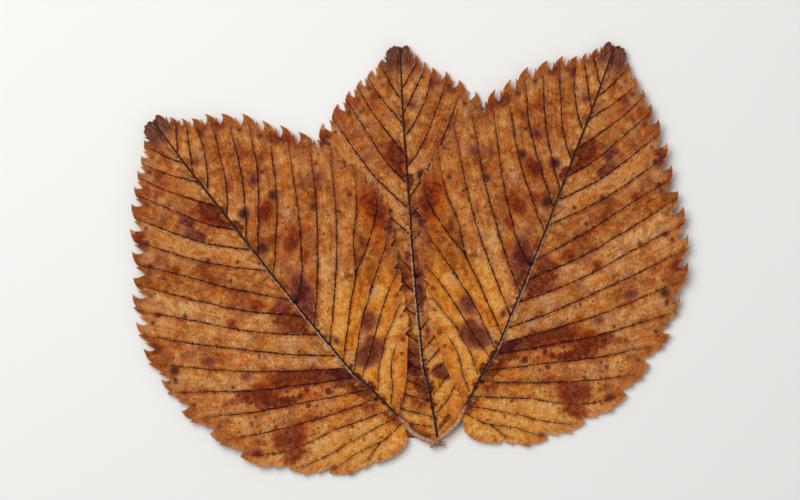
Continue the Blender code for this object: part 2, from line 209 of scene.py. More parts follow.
# Patches that stop at the side veins: the panel's number, from and to (shares of its length), strength.
RED_PANELS = (
    (11, -0.05, 0.34, 0.8), (3, -0.05, 0.24, 0.9), (12, 0.46, 0.66, 0.7), (12, -0.05, 0.14, 0.9),
    (16, -0.05, 0.08, 0.4), (15, -0.05, 0.10, 0.5), (13, -0.05, 0.10, 0.7), (8, -0.05, 0.22, 0.6),
)
MIDDLE_PANELS = (
    (11, -0.05, 0.34, 0.5), (3, -0.05, 0.24, 0.9), (12, -0.05, 0.14, 0.7), (13, -0.05, 0.10, 0.7),
)
DARK_PANELS = ((11, 0.02, 0.14, 0.7), (4, 0.40, 0.56, 0.5))
# What only the middle blade shows, near its foot.
MIDDLE_DARK = (
    (13, 70, 8, 8, -10, 1), (19, 67, 7, 7, 0, 1), (-12, 73, 8, 6, -45, 1), (-16, 78, 6, 6, 0, 1),
    (4, 106, 5, 6, 0, 0.5), (1, 152, 3.5, 32, 0, 0.7), (9, 165, 3, 4, 0, 1), (-17, 166, 4, 5, 0, 0.8),
    (-9, 188, 5, 8, 0, 0.6),
)
MIDDLE_RED = ((-5, 50, 6, 14, 0, 0.8), (-10, 95, 8, 12, 0, 0.7))
# What each kind of blade has of its own: red, red panels, dark, dark panels.
MIDDLE_MARKS = (MIDDLE_RED, MIDDLE_PANELS, MIDDLE_DARK, ())
SIDE_MARKS = ((), RED_PANELS, SIDE_DARK, DARK_PANELS)
# Spots: u, v, radius, strength.
SPOTS = (
    (7, 231, 8, 1), (14, 269, 7.4, 1), (48, 265, 6, 1), (73, 230, 5.5, 1), (108, 217, 3.5, 1),
    (63, 203, 2.5, 0.7), (-9, 286, 2.8, 0.8), (-78, 256, 2.8, 0.8), (-97, 227, 3.2, 0.9),
    (-44, 256, 4.5, 0.8), (-92, 288, 3.5, 1), (-80, 308, 4.5, 0.9), (-111, 270, 3, 0.8), (-139, 192, 6.5, 1),
    (-145, 183, 4.5, 0.8), (-117, 245, 4, 0.8), (4, 112, 4, 0.7), (2, 63, 3, 0.5), (47, 61, 2.6, 0.7),
    (67, 131, 2.4, 0.8), (-58, 92, 4.5, 1), (-50, 93, 3.4, 1), (-71, 97, 3.8, 1), (-45, 85, 2.8, 0.8),
    (-33, 78, 4.4, 1), (-38, 83, 2.2, 0.8), (-58, 80, 3.5, 0.9), (-97, 84, 2.6, 0.8), (-89, 83, 2.2, 0.8),
    (-106, 104, 2.8, 0.8), (-130, 228, 3.5, 0.6), (-27, 196, 2.6, 0.7), (-120, 210, 2.6, 0.8),
    (6, 22, 2.6, 0.7), (-110, 96, 2.4, 0.8), (-52, 232, 2.4, 0.8), (30, 232, 2.4, 0.6), (92, 262, 2.6, 0.6),
    (58, 298, 2.6, 0.6), (-60, 168, 2, 0.6), (-1, 322, 3.4, 0.9), (-2, 262, 2.6, 0.8), (-3, 210, 2.8, 0.8),
    (-4, 166, 2.6, 0.8), (-66, 104, 2.4, 0.8), (118, 166, 4, 1), (-84, 100, 2.4, 0.8), (-52, 74, 2.6, 0.8),
    (-76, 86, 2.2, 0.8), (-112, 84, 2.4, 0.7), (-64, 56, 2.4, 0.7), (-44, 62, 2.2, 0.7), (-84, 46, 2.4, 0.7),
    (-40, 40, 2, 0.6), (-26, 36, 2.6, 0.7),
)


def smooth(t):
    """Goes from 0 to 1 as t does, level at both ends."""
    t = np.clip(t, 0.0, 1.0)
    return t * t * (3.0 - 2.0 * t)


def resampled(line, step):
    """The line with a point about every step units."""
    line = np.asarray(line, dtype=float)
    reach = np.concatenate(([0.0], np.cumsum(np.hypot(*np.diff(line, axis=0).T))))
    count = max(2, int(round(reach[-1] / step)) + 1)
    at = np.linspace(0.0, reach[-1], count)
    return np.column_stack([np.interp(at, reach, line[:, k]) for k in (0, 1)])


def curve(line, k, f):
    """The smooth curve through a line's points, at shares f of the way from its point k to the next."""
    ends = np.vstack([2 * line[0] - line[1], line, 2 * line[-1] - line[-2]])
    a, b, c, d = ends[k:k + 4]
    bend = (2 * a - 5 * b + 4 * c - d) * f**2
    twist = (3 * b - a - 3 * c + d) * f**3
    return 0.5 * (2 * b + (c - a) * f + bend + twist)


def rounded(line, step):
    """A smooth curve through the line's points, with a point about every step units."""
    line = np.asarray(line, dtype=float)
    shares = np.linspace(0.0, 1.0, 12, endpoint=False)[:, None]
    found = [curve(line, k, shares) for k in range(len(line) - 1)]
    return resampled(np.vstack(found + [line[-1:]]), step)


def closed(loop):
    """A loop's points with the first one again at the end."""
    return np.vstack([loop, loop[:1]])


def sideways(line):
    """Unit steps to the left of a line at each of its points."""
    run = np.gradient(line, axis=0)
    return np.column_stack([-run[:, 1], run[:, 0]]) / np.maximum(np.hypot(*run.T), 1e-9)[:, None]


def nearest(points, line):
    """How far each point is from a line, how far along it that is from 0 to 1, and on which side."""
    best = np.full(len(points), 1e9)
    along = np.zeros(len(points))
    side = np.zeros(len(points))
    runs = np.diff(line, axis=0)
    lengths = np.hypot(*runs.T)
    before = np.concatenate(([0.0], np.cumsum(lengths)))
    for a, run, length, start in zip(line[:-1], runs, lengths, before):
        away = points - a
        t = np.clip(away @ run / max(length**2, 1e-12), 0.0, 1.0)
        far = np.hypot(*(away - t[:, None] * run).T)
        closer = far < best
        best = np.where(closer, far, best)
        along = np.where(closer, (start + t * length) / before[-1], along)
        side = np.where(closer, np.sign(run[0] * away[:, 1] - run[1] * away[:, 0]), side)
    return best, along, side


def inside(points, loop):
    """Which points lie within a closed loop."""
    found = np.zeros(len(points), dtype=bool)
    for a, b in zip(loop, np.roll(loop, -1, axis=0)):
        crosses = (a[1] > points[:, 1]) != (b[1] > points[:, 1])
        rise = b[1] - a[1] if b[1] != a[1] else 1e-12
        at = a[0] + (points[:, 1] - a[1]) * (b[0] - a[0]) / rise
        found ^= crosses & (points[:, 0] < at)
    return found


def noise(points, size, seed):
    """Soft seeded noise from 0 to 1 with lumps of about the given size in units."""
    table = np.random.default_rng(seed).random((97, 97))
    at = points / size + 48.0
    cell = np.floor(at).astype(int)
    f = smooth(at - cell)
    i, j = cell[:, 0] % 97, cell[:, 1] % 97
    k, m = (i + 1) % 97, (j + 1) % 97
    low = table[i, j] * (1 - f[:, 0]) + table[k, j] * f[:, 0]
    high = table[i, m] * (1 - f[:, 0]) + table[k, m] * f[:, 0]
    return low * (1 - f[:, 1]) + high * f[:, 1]


def bezier(a, b, c, t):
    """A point on the curve from a to c that bends towards b."""
    return a * (1 - t) ** 2 + b * (2 * t * (1 - t)) + c * t**2


def toothed_edge(teeth, start, side, rng):
    """Points down one side of a blade: curved lower edges with small teeth, then a hook up to each tooth."""
    points = []
    point = Vector(start)
    for tip_u, tip_v, notch_u, notch_v in teeth:
        notch = Vector((notch_u, notch_v))
        tip = Vector((tip_u, tip_v))
        along = notch - point
        length = along.length
        along.normalize()
        out = Vector((-along.y, along.x)) * side
        nubs = () if length < 13.0 else (0.66,) if length < 33.0 else (0.40, 0.74)
        ts = np.concatenate([np.linspace(0.0, 1.0, max(3, int(length / 1.5)))[1:-1], nubs,
                             [n - 0.03 for n in nubs]])
        for t in np.sort(ts):
            bulge = 0.11 * length * 4.0 * t * (1.0 - t) * (1.25 - 0.6 * t)
            back = 0.0
            for nub in nubs:
                if nub <= t < nub + 0.22:
                    lean = 1.0 - (t - nub) / 0.22
                    bulge += 2.4 * lean**1.6
                    back += 1.5 * lean**3
                elif nub - 0.14 < t < nub:
                    bulge -= 1.3 * (1.0 - (nub - t) / 0.14)
            points.append(point + along * (t * length - back) + out * (bulge + rng.normal(0.0, 0.10)))
        points.append(notch)
        step = tip - notch
        rise = -step.dot(along)
        reach = step + along * rise
        bend = notch + reach * 0.86 - along * rise * 0.02
        points += [bezier(notch, bend, tip, t) for t in (0.2, 0.4, 0.6, 0.75, 0.88, 1.0)]
        point = tip
    return points


def blade_outline(name):
    """The margin of a blade, as one closed loop of points."""
    rng = np.random.default_rng(TEETH_SEED)
    long_side = LONG_SIDE[:-1] if name == MIDDLE else LONG_SIDE
    down = toothed_edge(long_side, TIP[0], -1, rng)
    up = toothed_edge(SHORT_SIDE, TIP[3], 1, rng)
    lobe, narrow = (MIDDLE_LOBE, MIDDLE_NARROW_SIDE) if name == MIDDLE else (ROUND_LOBE, NARROW_SIDE)
    foot = rounded((tuple(down[-1]),) + lobe + narrow + (tuple(up[-1]),), 1.8)[1:-1]
    frayed = resampled(TIP[::-1], 1.3)
    frayed[1:-1, 1] += rng.uniform(-1.6, 0.9, len(frayed) - 2)
    return np.vstack([[tuple(p) for p in down], foot, [tuple(p) for p in up[::-1]], frayed[:-1]])


def placed(points, name):
    """Takes a blade's own points to where they lie on the table, in units."""
    (foot_x, foot_y), lean, (across, along) = BLADES[name]
    lean = math.radians(lean)
    u = points[:, 0] * across
    v = points[:, 1] * along
    x = foot_x + u * math.cos(lean) + v * math.sin(lean)
    y = foot_y - u * math.sin(lean) + v * math.cos(lean)
    return np.column_stack([x, y])


def placed_back(table, name):
    """Takes points on the table back to a blade's own, in units."""
    (foot_x, foot_y), lean, (across, along) = BLADES[name]
    lean = math.radians(lean)
    x, y = table[:, 0] - foot_x, table[:, 1] - foot_y
    u = x * math.cos(lean) - y * math.sin(lean)
    v = x * math.sin(lean) + y * math.cos(lean)
    return np.column_stack([u / across, v / along])


def wave(table):
    """The slow rise and fall of the whole leaf: flat round the middle, turning up at the far edges."""
    x, y = table.T
    ripple = 0.40 * np.sin(x / 37.0 + 1.3 * np.sin(y / 71.0))
    ripple += 0.40 * np.sin(y / 43.0 + 0.9 * np.cos(x / 59.0))
    far = np.hypot(x - 5.0, y + 10.0)
    rise = ripple * smooth((far - 40.0) / 80.0) + 2.2 * smooth((far - 130.0) / 170.0) ** 1.5
    return np.maximum(rise - 0.15, 0.0) * MM


def rib_width(v):
    """Half the midrib's width in units."""
    return 2.7 - 1.7 * np.clip(v / 400.0, 0.0, 1.0)


def veins_of(points):
    """Where each point lies among the side veins.

    Gives the distance to the nearest vein and how far out along it that is from 0 to 1, the same distance
    with a sign that is positive towards the tip, the panel's number, and two coordinates that follow the
    veins: the length along them and a number that grows by 1 from each vein to the next.
    """
    split = len(LONG_VEINS)
    far, at, ahead, reach = [], [], [], []
    for k, line in enumerate(VEIN_LINES):
        distance, share, side = nearest(points, line)
        far.append(distance)
        at.append(share)
        ahead.append(side * (-1.0 if k < split else 1.0))
        reach.append(share * np.hypot(*np.diff(line, axis=0).T).sum())
    far, at, ahead, reach = (np.array(rows) for rows in (far, at, ahead, reach))
    each = np.arange(len(points))
    first = far.argmin(axis=0)
    step = np.where(ahead[first, each] > 0, -1, 1)
    low = np.where(first < split, 0, split)
    high = np.where(first < split, split, len(VEIN_LINES)) - 1
    second = np.clip(first + step, low, high)
    near, next_far = far[first, each], far[second, each]
    share = np.where(first == second, 0.0, near / np.maximum(near + next_far, 1e-9))
    along_veins = reach[first, each] * (1.0 - share) + reach[second, each] * share
    between = first + step * np.where(first == second, np.minimum(near / 20.0, 0.5), share)
    signed = near * np.where(step < 0, 1.0, -1.0)
    panel = np.where(step < 0, first, first + 1)
    return near, at[first, each], signed, panel, along_veins, between


def wiggled(line, number):
    """A side vein's line, a little uneven, that starts inside the midrib."""
    line = np.asarray(line, dtype=float)
    if abs(line[0, 0]) < 6.5:
        inward = line[0] - line[1]
        line = np.vstack([line[0] + inward * (2.0 / np.hypot(*inward)), line])
    line = rounded(line, 2.4)
    sway = (noise(line, 9.0, SWAY_SEED + number) - 0.5) * 1.1
    ends = smooth(np.linspace(0.0, 1.0, len(line)) * 8.0)
    return line + sideways(line) * (sway * ends)[:, None]


FLAT = {}
VEIN_LINES = [wiggled(line, k) for k, line in enumerate(LONG_VEINS + SHORT_VEINS)]


def drawn_lines(outline):
    """The lines that a blade's triangles keep to: its margin, its midrib's cord and its side veins' cords."""
    lines = [outline]
    spine = rounded(MIDRIB, SHAPE_STEP)
    spine[0, 1] += 0.8
    half = rib_width(spine[:, 1])
    for share in (-1.0, -0.8, -0.4, 0.0, 0.4, 0.8, 1.0):
        lines.append(spine + np.column_stack([share * half, np.zeros(len(spine))]))
    for line in VEIN_LINES:
        vein = line[3:] if abs(line[0, 0]) < 8.0 else line[1:]
        lines.append(vein)
        for side in (-CORD, CORD):
            lines.append((vein + sideways(vein) * side)[1:-1])
    return lines


def blade_plane(outline):
    """A blade's flat points and triangles."""
    points = []
    edges = []
    for n, line in enumerate(drawn_lines(outline)):
        kept = line[inside(line, outline)] if n > 7 else line
        first = len(points)
        points += [tuple(p) for p in kept]
        edges += [(first + k, first + k + 1) for k in range(len(kept) - 1)]
        if n == 0:
            edges.append((first + len(kept) - 1, first))
    low, high = outline.min(axis=0), outline.max(axis=0)
    grid = []
    for k, v in enumerate(np.arange(low[1], high[1], GRID * 0.87)):
        grid += [(u + (k % 2) * GRID / 2, v) for u in np.arange(low[0], high[0], GRID)]
    grid = np.array(grid)
    grid = grid[inside(grid, outline)]
    taken = np.array(points)
    clear = [tuple(p) for p in grid if ((taken - p) ** 2).sum(axis=1).min() > CLEAR_SQUARE]
    flat = delaunay_2d_cdt([Vector(p) for p in points + clear], edges, [], 1, 1e-4)
    return np.array([tuple(p) for p in flat[0]]), [list(face) for face in flat[2]]


def panel_blotches(panel, along, patches):
    """A field like that of blotches, for patches that fill a panel between two side veins."""
    found = np.zeros(len(panel))
    for number, start, end, strength in patches:
        middle, half = 0.5 * (start + end), 0.5 * (end - start)
        reach = np.clip(1.0 - np.abs(along - middle) / (2.0 * half), 0.0, 1.0)
        reach = np.minimum(1.5 * reach, 1.0)
        found = np.maximum(found, (panel == number) * (0.35 + 0.65 * strength) * reach)
    return found


def blotches(points, marks):
    """A field that is 1 at the middle of a full-strength blotch, 0.5 at its edge and 0 at twice its size."""
    found = np.zeros(len(points))
    for u, v, wide, tall, turn, strength in marks:
        turn = math.radians(turn)
        du, dv = points[:, 0] - u, points[:, 1] - v
        a = (du * math.cos(turn) + dv * math.sin(turn)) / wide
        b = (-du * math.sin(turn) + dv * math.cos(turn)) / tall
        found = np.maximum(found, (0.35 + 0.65 * strength) * np.clip(1.0 - np.hypot(a, b) / 2.0, 0.0, 1.0))
    return found


def blade_form(points, name, middle, line):
    """The top and underside of a blade over the table at its points, in metres."""
    table = placed(points, name)
    vein, along, rib, edge = line
    pleat = PLEAT * (1.0 - np.exp(-(np.minimum(vein, np.abs(rib)) / PLEAT_REACH) ** 2))
    level = wave(table)
    if name != MIDDLE:
        away = nearest(table, closed(middle))[0]
        away = np.where(inside(table, middle), 0.0, away)
        level += LIFT * smooth(1.0 - away / LIFT_RUN)
        turn = 0.5 + 0.5 * np.sin(points[:, 1] / 17.0 + 2.0 * np.sin(points[:, 0] / 29.0))
        level += RUFFLE * turn * np.exp(-edge / 9.0) * smooth((points[:, 1] - 20.0) / 60.0)
    v = points[:, 1]
    tall = (0.28 + 0.60 * np.clip(1.0 - v / 260.0, 0.0, 1.0) ** 2) * MM
    if name == MIDDLE:
        tall *= (0.2 + 0.8 * smooth((v - 8.0) / 40.0))
    rib_cord = tall * np.sqrt(np.clip(1.0 - (rib / rib_width(v)) ** 2, 0.0, 1.0))
    cord = CORD_HEIGHT * np.clip(1.0 - vein / CORD, 0.0, 1.0) * (1.15 - along) * (np.abs(rib) > rib_width(v))
    crinkle = noise(points, 7.0, CRINKLE_SEEDS[0]) + 0.6 * noise(points, 3.2, CRINKLE_SEEDS[1]) - 0.8
    crinkle = CRINKLE * crinkle
    rim = 1.0 - smooth(edge / 7.0)
    top = level + pleat + rib_cord + cord + crinkle * (1.0 - 0.5 * rim) + THICK - RIM_DROP * rim
    under = np.maximum(level + 0.5 * pleat - SINK + RIM_RISE * rim * (name != MIDDLE), 0.0)
    return top, np.minimum(under, top - THINNEST)


def srgb(*colour):
    """A screen colour from 0 to 255 as a linear one, set for the light in this scene."""
    linear = [c / 12.92 if c < 0.04045 else ((c + 0.055) / 1.055) ** 2.4 for c in (k / 255.0 for k in colour)]
    return tuple(c * gain for c, gain in zip(linear, SCREEN_GAINS)) + (1.0,)


class Nodes:
    """Short ways to add and link a material's nodes."""

    def __init__(self, name):
        self.made = bpy.data.materials.new(name)
        self.made.use_nodes = True
        self.tree = self.made.node_tree
        self.shader = self.tree.nodes["Principled BSDF"]

    def node(self, kind, **settings):
        found = self.tree.nodes.new(kind)
        for key, value in settings.items():
            setattr(found, key, value)
        return found

    def put(self, socket, value):
        if isinstance(value, bpy.types.NodeSocket):
            self.tree.links.new(value, socket)
        else:
            socket.default_value = value

    def math(self, operation, *values):
        found = self.node("ShaderNodeMath", operation=operation)
        for socket, value in zip(found.inputs, values):
            self.put(socket, value)
        return found.outputs[0]

    plus = partialmethod(math, "ADD")
    minus = partialmethod(math, "SUBTRACT")
    times = partialmethod(math, "MULTIPLY")
    weighted = partialmethod(math, "MULTIPLY_ADD")  # a value, its weight, and what is added

    def between(self, value, low, high, out_low=0.0, out_high=1.0):
        """Eases from out_low to out_high as value goes from low to high."""
        found = self.node("ShaderNodeMapRange", interpolation_type="SMOOTHSTEP")
        for socket, given in zip(found.inputs[:5], (value, low, high, out_low, out_high)):
            self.put(socket, given)
        return found.outputs[0]

    def mix(self, share, first, second, blend="MIX"):
        found = self.node("ShaderNodeMix", data_type="RGBA", blend_type=blend)
        self.put(found.inputs[0], share)
        self.put(found.inputs[6], first)
        self.put(found.inputs[7], second)
        return found.outputs[2]

    def parts(self, vector):
        """The three numbers of a vector."""
        found = self.node("ShaderNodeSeparateXYZ")
        self.put(found.inputs[0], vector)
        return found.outputs

    def attribute(self, name):
        """A vector attribute and its three numbers."""
        found = self.node("ShaderNodeAttribute", attribute_name=name).outputs["Vector"]
        return found, self.parts(found)

    def noise(self, place, scale, detail=3.0, rough=0.55, distortion=0.0):
        found = self.node("ShaderNodeTexNoise")
        self.put(found.inputs["Vector"], place)
        settings = {"Scale": scale, "Detail": detail, "Roughness": rough, "Distortion": distortion}
        for key, value in settings.items():
            found.inputs[key].default_value = value
        return found.outputs["Fac"]

    def cells(self, place, scale, feature="F1"):
        found = self.node("ShaderNodeTexVoronoi", feature=feature)
        self.put(found.inputs["Vector"], place)
        found.inputs["Scale"].default_value = scale
        return found.outputs

    def scaled(self, place, size, turn=0.0):
        found = self.node("ShaderNodeMapping")
        self.put(found.inputs["Vector"], place)
        found.inputs["Rotation"].default_value = (0.0, 0.0, math.radians(turn))
        found.inputs["Scale"].default_value = size
        return found.outputs[0]

    def ramp(self, value, stops):
        """Blends through screen colours, each behind its share of the way, as value grows."""
        found = self.node("ShaderNodeValToRGB")
        elements = found.color_ramp.elements
        while len(elements) < len(stops):
            elements.new(0.5)
        for element, (at, *colour) in zip(elements, stops):
            element.position = at
            element.color = srgb(*colour)
        self.put(found.inputs[0], value)
        return found.outputs[0]

    def pushed(self, place, value, amounts):
        """The place, pushed about by a value."""
        found = self.node("ShaderNodeVectorMath", operation="MULTIPLY_ADD")
        for socket, given in zip(found.inputs, (value, amounts, place)):
            self.put(socket, given)
        return found.outputs[0]

    def shaded(self, given):
        """The material, with its shader's inputs given."""
        for key, value in given.items():
            self.put(self.shader.inputs[key], value)
        return self.made

    def bump(self, height, distance):
        found = self.node("ShaderNodeBump")
        self.put(found.inputs["Height"], height)
        found.inputs["Distance"].default_value = distance
        found.inputs["Strength"].default_value = BUMP_STRENGTH
        return found.outputs[0]


class LeafNodes(Nodes):
    """The leaf's nodes, with the fields and noises that its layers share."""

    def __init__(self, name):
        super().__init__(name)
        self.place, (_, self.height, self.side) = self.attribute("plane")
        self.follow, _ = self.attribute("follow")
        _, (self.vein, self.along, self.rib) = self.attribute("lines")
        _, (self.red, self.dark, self.pale) = self.attribute("tones")
        _, (self.spots, self.tip, self.edge) = self.attribute("marks")
        _, (self.panel, self.gold, self.below) = self.attribute("parts")
        # beside marks where the painted highlight runs along one side of each side vein.
        _, (self.beside, self.foot, self.olive) = self.attribute("more")
        self.glow = self.node("ShaderNodeAttribute", attribute_name="glow").outputs["Fac"]
        self.lumps = self.noise(self.place, 12.0, 5.0, 0.62, 0.3)
        self.grain = self.noise(self.place, 42.0, 5.0, 0.70)
        self.streaks = self.noise(self.scaled(self.follow, (3.5, 9.0, 1.0)), 1.0, 4.0, 0.65)
        self.ragged = self.minus(self.noise(self.place, 95.0, 3.0, 0.7), 0.5)
        self.foot_side = self.between(self.height, 0.6, 1.3, 1.0, 0.0)
        small_veins = self.cells(self.scaled(self.follow, (24.0, 3.0, 1.0)), 1.0, "DISTANCE_TO_EDGE")
        self.net = small_veins["Distance"]

    def clumps(self, noise, *limits):
        """A noise over the blade, eased between limits."""
        return self.between(self.noise(self.place, *noise), *limits)

    def patches(self, field, low, high, rough=0.6):
        """A field's ragged patches from 0 to 1, fainter where the field is weak."""
        uneven = self.times(self.minus(self.plus(self.lumps, self.grain), 1.0), rough)
        found = self.between(self.plus(field, uneven), low, high)
        return self.times(found, self.between(field, 0.15, 0.62, 0.36, 1.0))


def ground_colour(n):
    """Brown, orange or golden in panels, soft lumps, and streaks along and across the veins."""
    broad = n.noise(n.place, 3.1, 3.0)
    cross = n.noise(n.scaled(n.follow, (30.0, 2.2, 1.0)), 1.0, 4.0, 0.7)
    tone = n.weighted(broad, 0.75, n.times(n.lumps, 0.95))
    for layer, weight in ((n.panel, 0.15), (n.grain, 0.40), (n.streaks, 0.42), (cross, 0.22)):
        tone = n.weighted(layer, weight, tone)
    tone = n.minus(tone, n.between(n.height, 0.7, 1.7, -0.02, 0.06))
    tone = n.plus(tone, n.between(n.side, 0.0, SIDE, 0.06, 0.01))
    tone = n.between(tone, 1.00, 1.74)
    brown = n.ramp(tone, ((0.0, 98, 44, 18), (0.26, 140, 74, 30), (0.52, 176, 106, 48), (0.78, 200, 136, 72),
                          (1.0, 220, 168, 112)))
    orange = n.ramp(tone, ((0.0, 110, 42, 14), (0.3, 160, 76, 24), (0.6, 196, 108, 38), (1.0, 222, 152, 82)))
    brown = n.mix(n.clumps((8.0, 4.0, 0.6), 0.44, 0.62, 0.0, 0.75), brown, orange)
    dull = n.clumps((6.5, 4.0, 0.6, 0.4), 0.50, 0.64, 0.0, 0.45)
    brown = n.mix(dull, brown, n.mix(n.lumps, srgb(104, 58, 44), srgb(176, 122, 92)))
    golden = n.ramp(tone, ((0.0, 146, 68, 18), (0.3, 186, 101, 28), (0.6, 216, 136, 48), (1.0, 232, 174, 94)))
    colour = n.mix(n.between(n.weighted(n.lumps, 0.5, n.gold), 0.35, 1.15), brown, golden)
    # Pale patches, part of them a painted highlight along a crease.
    paled = n.times(n.patches(n.pale, 0.42, 0.80), 0.75)
    return n.mix(paled, colour, n.mix(n.grain, srgb(176, 122, 84), srgb(218, 176, 138)))


def with_blotches(n, colour):
    """Adds blotches with ragged edges, loose red-brown mottling in between, and on the middle blade a painted
    olive shade beside the stalk's arm.
    """
    mottled = n.clumps((19.0, 6.0, 0.66, 0.5), 0.54, 0.66)
    mottled = n.times(mottled, n.clumps((5.0, 2.0), 0.38, 0.62, 0.10, 0.72))
    colour = n.mix(mottled, colour, n.mix(n.grain, srgb(104, 44, 18), srgb(150, 74, 32)))
    inner = n.between(n.plus(n.lumps, n.grain), 0.82, 1.18)
    glowing = n.times(n.patches(n.glow, 0.30, 0.66, 0.60), 0.85)
    colour = n.mix(glowing, colour, n.mix(inner, srgb(176, 76, 18), srgb(220, 128, 40)))
    drift = n.times(n.minus(n.noise(n.place, 7.5, 3.0, 0.6, 0.5), 0.5), 0.9)
    drift = n.times(drift, n.between(n.red, 0.05, 0.40))
    reddened = n.patches(n.plus(n.red, drift), 0.31, 0.58, 0.80)
    reddened = n.times(reddened, n.clumps((22.0, 4.0, 0.7), 0.36, 0.58, 0.76, 1.0))
    deep = n.between(n.weighted(inner, -0.50, n.red), -0.05, 0.55)
    colour = n.mix(n.times(reddened, 0.94), colour, n.mix(deep, srgb(158, 54, 16), srgb(88, 18, 8)))
    darkened = n.patches(n.dark, 0.34, 0.58, 0.42)
    deep = n.between(n.weighted(inner, -0.30, n.dark), 0.18, 0.72)
    colour = n.mix(n.times(darkened, 0.90), colour, n.mix(deep, srgb(140, 74, 62), srgb(66, 16, 20)))
    # Painted shade, dark olive, on the middle blade beside the stalk's left arm.
    return n.mix(n.times(n.olive, 0.80), colour, n.mix(n.grain, srgb(40, 34, 10), srgb(92, 70, 26)))


def with_specks(n, colour):
    """Adds small dry specks, redder and thicker near the foot, pale flecks, and a fine grain that is partly
    painted glints.
    """
    clean = n.between(n.gold, 0.25, 0.75, 1.0, 0.40)
    specks = n.weighted(n.foot_side, 0.045, n.noise(n.place, 34.0, 3.0, 0.55, 0.3))
    specks = n.times(n.between(specks, 0.61, 0.67), n.clumps((6.0, 3.0), 0.42, 0.54, 0.15, 0.90))
    specks = n.times(specks, clean)
    colour = n.mix(specks, colour, n.mix(n.foot_side, srgb(84, 36, 24), srgb(132, 52, 20)))
    fine = n.times(n.clumps((66.0, 2.0, 0.5), 0.62, 0.69), n.clumps((10.0, 3.0), 0.44, 0.58, 0.20, 0.80))
    fine = n.times(fine, clean)
    colour = n.mix(fine, colour, n.mix(n.foot_side, srgb(92, 38, 24), srgb(146, 66, 24)))
    flecks = n.times(n.clumps((50.0, 3.0, 0.6), 0.64, 0.72), n.clumps((8.5, 3.0), 0.50, 0.64, 0.0, 0.40))
    colour = n.mix(flecks, colour, srgb(232, 184, 126))
    # A fine grain, partly painted glints: it is multiplied in, pale and bluish at its bright end.
    grain_and_glints = n.between(n.noise(n.scaled(n.place, (1.0, 1.0, 1.0), 31.0), 74.0, 3.0, 0.75), 0.30, 0.70)
    glinting_grain = n.mix(grain_and_glints, (0.70, 0.54, 0.32, 1.0), (1.20, 1.36, 1.86, 1.0))
    strength = n.times(n.between(n.gold, 0.2, 0.8, 1.0, 0.45), n.between(n.side, 0.0, SIDE, 0.50, 0.36))
    return n.mix(strength, colour, n.mix(1.0, colour, glinting_grain, "MULTIPLY"))


def with_spots(n, colour):
    """Adds the drawn spots, and small round ones, most of them on the lower long side."""
    # The spots field also holds the painted shade beside each notch.
    spotted = n.patches(n.spots, 0.34, 0.76, 0.55)
    core = n.between(n.weighted(n.grain, 0.5, n.spots), 0.72, 1.16)
    spot = n.mix(core, srgb(112, 64, 46), srgb(44, 26, 26))
    spot = n.mix(n.between(n.height, 0.95, 1.4), srgb(94, 30, 20), spot)
    colour = n.mix(n.times(spotted, 0.93), colour, spot)
    dots = n.cells(n.pushed(n.place, n.noise(n.place, 26.0, 2.0), (0.05, -0.05, 0.0)), 12.0)
    chance, size = n.parts(dots["Color"])[:2]
    around = n.minus(dots["Distance"], n.times(size, 0.14))
    around = n.between(n.weighted(n.ragged, 0.12, around), 0.07, 0.15, 1.0, 0.0)
    lower = n.times(n.between(n.height, 0.9, 1.5, 1.0, 0.0), n.between(n.side, 0.0, SIDE, 1.0, 0.25))
    likely = n.math("GREATER_THAN", n.weighted(lower, 0.40, chance), 0.84)
    around = n.times(n.times(around, likely), n.between(chance, 0.4, 1.0, 0.40, 0.80))
    tint = n.mix(n.between(n.height, 0.95, 1.4), srgb(106, 34, 16), srgb(70, 34, 26))
    return n.mix(around, colour, tint)


def with_margin(n, colour):
    """Makes the margin redder in places, with a thin dry rim, and the tip dark and fibrous."""
    margin = n.times(n.between(n.edge, 1.0, 11.0, 0.75, 0.0), n.between(n.lumps, 0.40, 0.60))
    colour = n.mix(margin, colour, n.mix(n.foot_side, srgb(122, 54, 28), srgb(176, 82, 28)))
    rim = n.times(n.between(n.edge, 0.2, 1.1, 0.62, 0.0), n.between(n.grain, 0.40, 0.60, 0.15, 1.0))
    colour = n.mix(rim, colour, srgb(204, 140, 102))
    fibres = n.noise(n.scaled(n.place, (95.0, 11.0, 1.0)), 1.0, 3.0, 0.65)
    frayed = n.mix(n.between(fibres, 0.38, 0.66), srgb(54, 24, 22), srgb(130, 82, 70))
    return n.mix(n.times(n.tip, 0.9), colour, frayed)


def vein_lines(n):
    """Where the side veins are dark: ragged, beaded lines that thin out towards the margin."""
    spurs = n.between(n.noise(n.scaled(n.follow, (75.0, 1.4, 1.0)), 1.0, 2.0, 0.5), 0.62, 0.70, 0.0, 1.9)
    off_line = n.minus(n.weighted(n.ragged, 1.9, n.vein), spurs)
    wide = n.times(n.weighted(n.along, -0.30, 1.08), n.between(n.height, 0.1, 1.2, 0.56, 1.0))
    wide = n.times(wide, n.clumps((15.0, 3.0, 0.7), 0.36, 0.64, 0.50, 1.50))
    line = n.between(n.math("DIVIDE", off_line, wide), 0.30, 1.15, 1.0, 0.0)
    beads = n.clumps((31.0, 4.0, 0.75), 0.36, 0.50, 0.35, 1.0)
    return n.times(n.times(line, beads), n.between(n.along, 0.78, 1.0, 1.0, 0.50))


